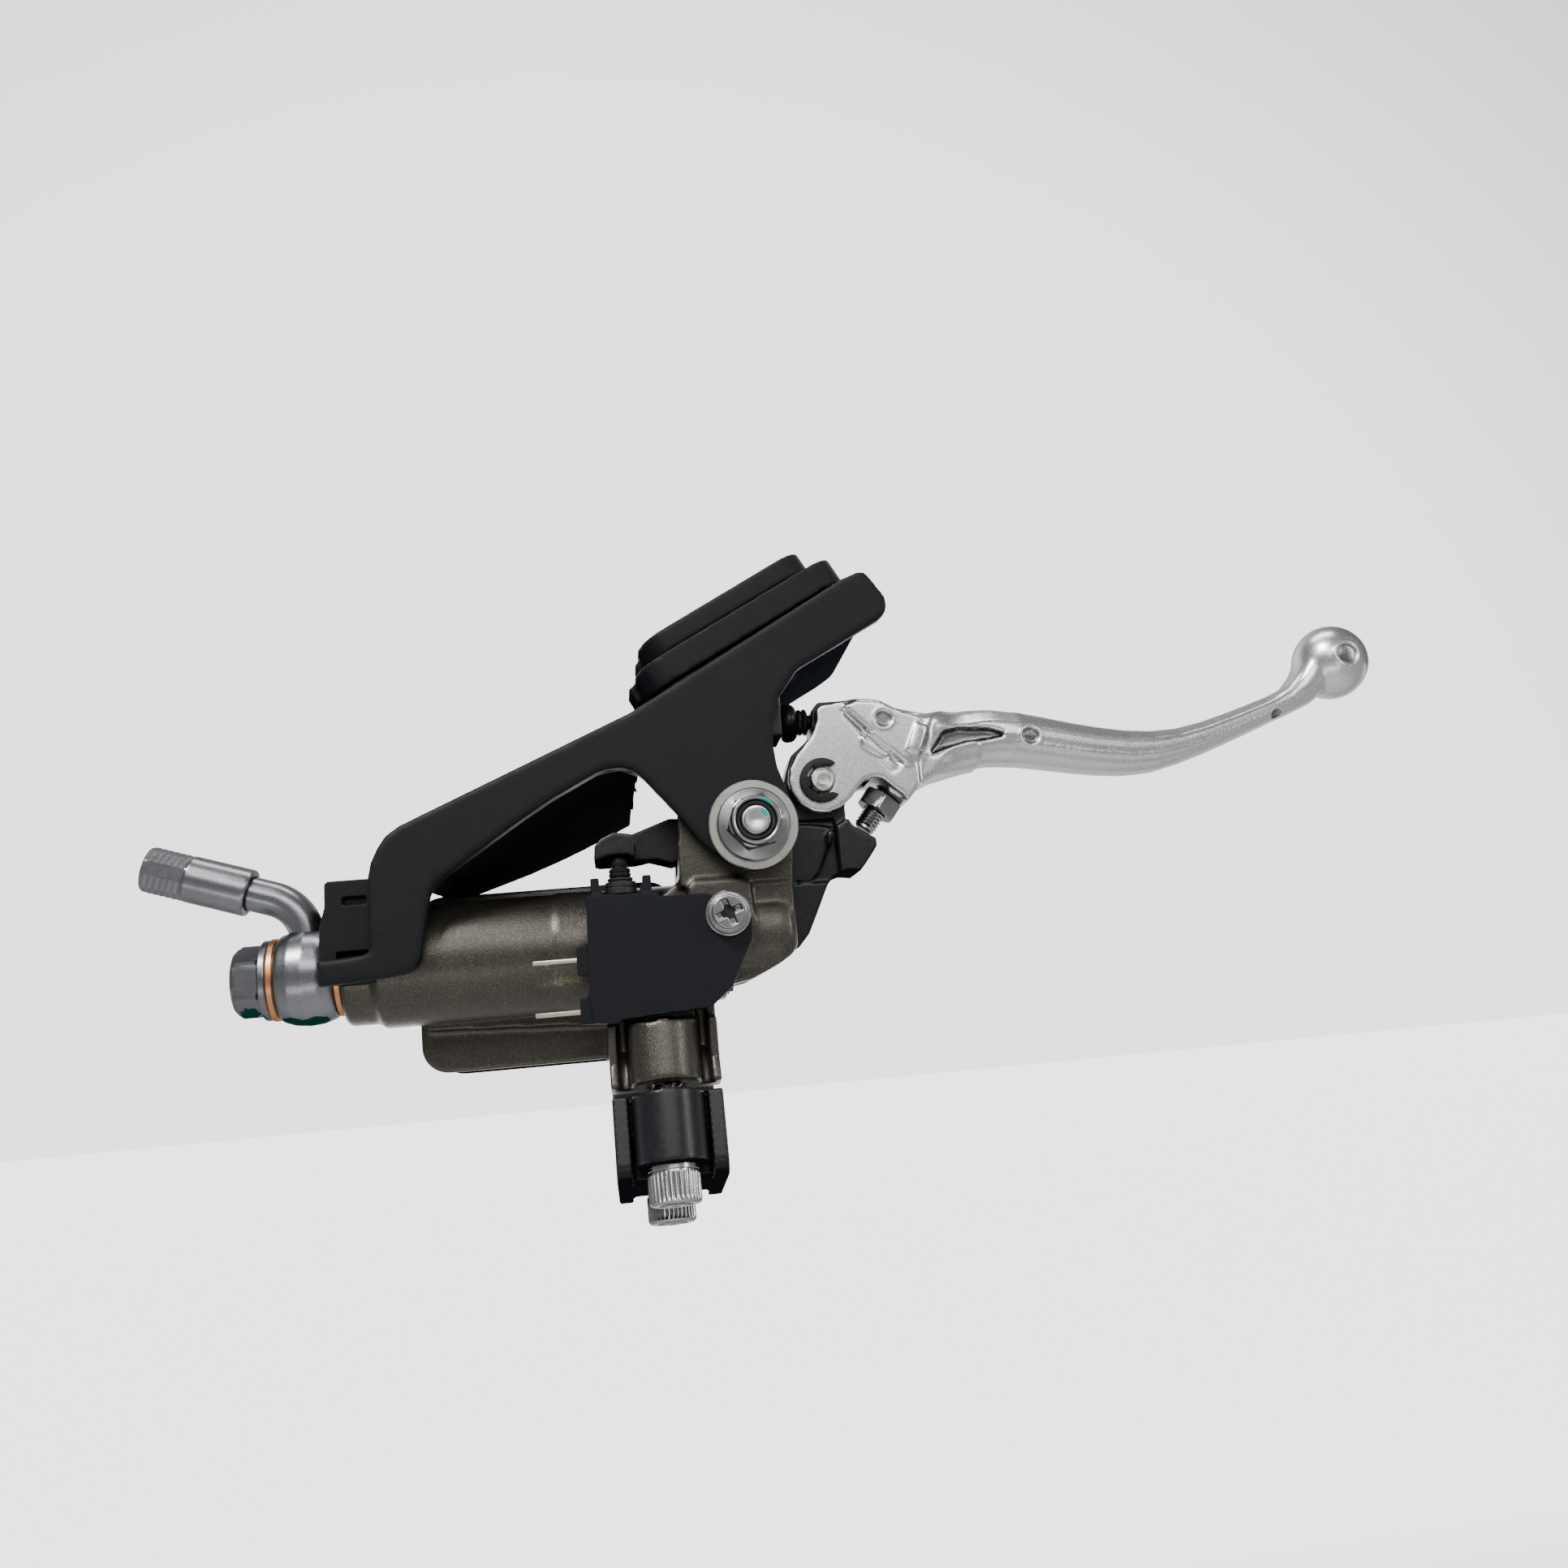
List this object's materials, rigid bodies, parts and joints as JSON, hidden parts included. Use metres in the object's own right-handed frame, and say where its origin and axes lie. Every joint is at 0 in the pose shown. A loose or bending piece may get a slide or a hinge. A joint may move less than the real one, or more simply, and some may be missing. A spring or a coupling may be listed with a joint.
{
  "type": "brake master cylinder",
  "caption": "Motorcycle brake master cylinder with bar clamp, hinged lever, banjo hose end, brake switch, cast reservoir and a black lever guard.",
  "frame": {"origin": "centre of the handlebar clamp bore", "axes": "+X along the handlebar towards the lever tip, +Z away from the bar in the lever's plane, +Y towards the reservoir lid, along the lever pivot"},
  "size_m": [0.2674, 0.0697, 0.1389],
  "materials": {
    "body_paint": "satin bronze-grey metallic paint on a fine-grained casting",
    "black_paint": "semi-gloss black paint on a casting",
    "guard_plastic": "fine-grained matte moulding",
    "box_plastic": "gloss moulding",
    "switch_plastic": "smooth matte moulding",
    "lever_metal": "bright cast and polished",
    "zinc": "zinc plated",
    "nut_steel": "grey plated",
    "hose_steel": "bright plated",
    "stainless": "stainless",
    "copper": "annealed copper",
    "bush_bronze": "bearing bronze",
    "piston_metal": "hard anodised",
    "dark_steel": "phosphated",
    "terminal": "tinned brass",
    "rubber": "moulded rubber"
  },
  "bodies": {
    "housing": {"cylinder_body": "body_paint", "reservoir": "body_paint", "clamp_cap": "black_paint", "clamp_bolts": "stainless", "clamp_washers": "stainless", "guard_bracket": "guard_plastic", "guard_box": "box_plastic", "guard_cover": "guard_plastic", "guard_cap": "guard_plastic", "guard_clip": "guard_plastic", "pivot_bolt": "zinc", "pivot_nut": "nut_steel", "pivot_nut_ring": "rubber", "pivot_washer": "zinc", "carrier_bush": "bush_bronze", "banjo_bolt": "nut_steel", "banjo_washers": "copper", "banjo_fitting": "hose_steel", "hose_pipe": "hose_steel", "crimp_sleeve": "hose_steel", "reservoir_lid": "guard_plastic", "reservoir_diaphragm": "rubber", "diaphragm_plate": "stainless", "lid_screws": "stainless", "circlip": "zinc", "dust_seal": "rubber", "switch_body": "switch_plastic", "switch_terminals": "terminal", "switch_screw": "stainless", "switch_screw_washer": "stainless", "switch_boot": "rubber", "return_spring": "stainless"},
    "piston": {"piston": "piston_metal", "primary_cup": "rubber", "secondary_cup": "rubber", "spring_seat": "zinc"},
    "switch_plunger": {"switch_plunger": "switch_plastic"},
    "carrier": {"lever_carrier": "black_paint", "stop_screw": "dark_steel", "stop_sleeve": "rubber"},
    "lever": {"lever": "lever_metal", "lever_pin": "zinc", "e_clip": "dark_steel", "adjuster_nut": "zinc"},
    "adjuster": {"adjuster_screw": "zinc"}
  },
  "joints": [
    {"name": "lever_squeeze", "type": "hinge", "parent": "housing", "child": "carrier", "pos_m": [0.021, 0, 0.0533], "axis": [0, 1, 0], "range_deg": [0, 22], "stiffness_Nm_per_rad": 0.5, "springref_deg": -34.38},
    {"name": "lever_reach", "type": "hinge", "parent": "carrier", "child": "lever", "pos_m": [0.037, 0, 0.063], "axis": [0, 1, 0], "range_deg": [-8, 0], "stiffness_Nm_per_rad": 0.6, "springref_deg": 22.92},
    {"name": "adjuster_travel", "type": "slide", "parent": "lever", "child": "adjuster", "axis": [-0.6115, 0, -0.7912], "range_m": [-0.002, 0]},
    {"name": "piston_stroke", "type": "slide", "parent": "housing", "child": "piston", "axis": [-1, 0, 0], "range_m": [0, 0.0085], "deforming": ["return_spring"]},
    {"name": "plunger_out", "type": "slide", "parent": "housing", "child": "switch_plunger", "axis": [0, 0, 1], "range_m": [0, 0.003]}
  ],
  "couplings": [
    {"joint": "piston_stroke", "follows": "lever_squeeze", "m_per_rad": 0.0218},
    {"joint": "plunger_out", "follows": "lever_squeeze", "m_per_rad": 0.0075}
  ]
}
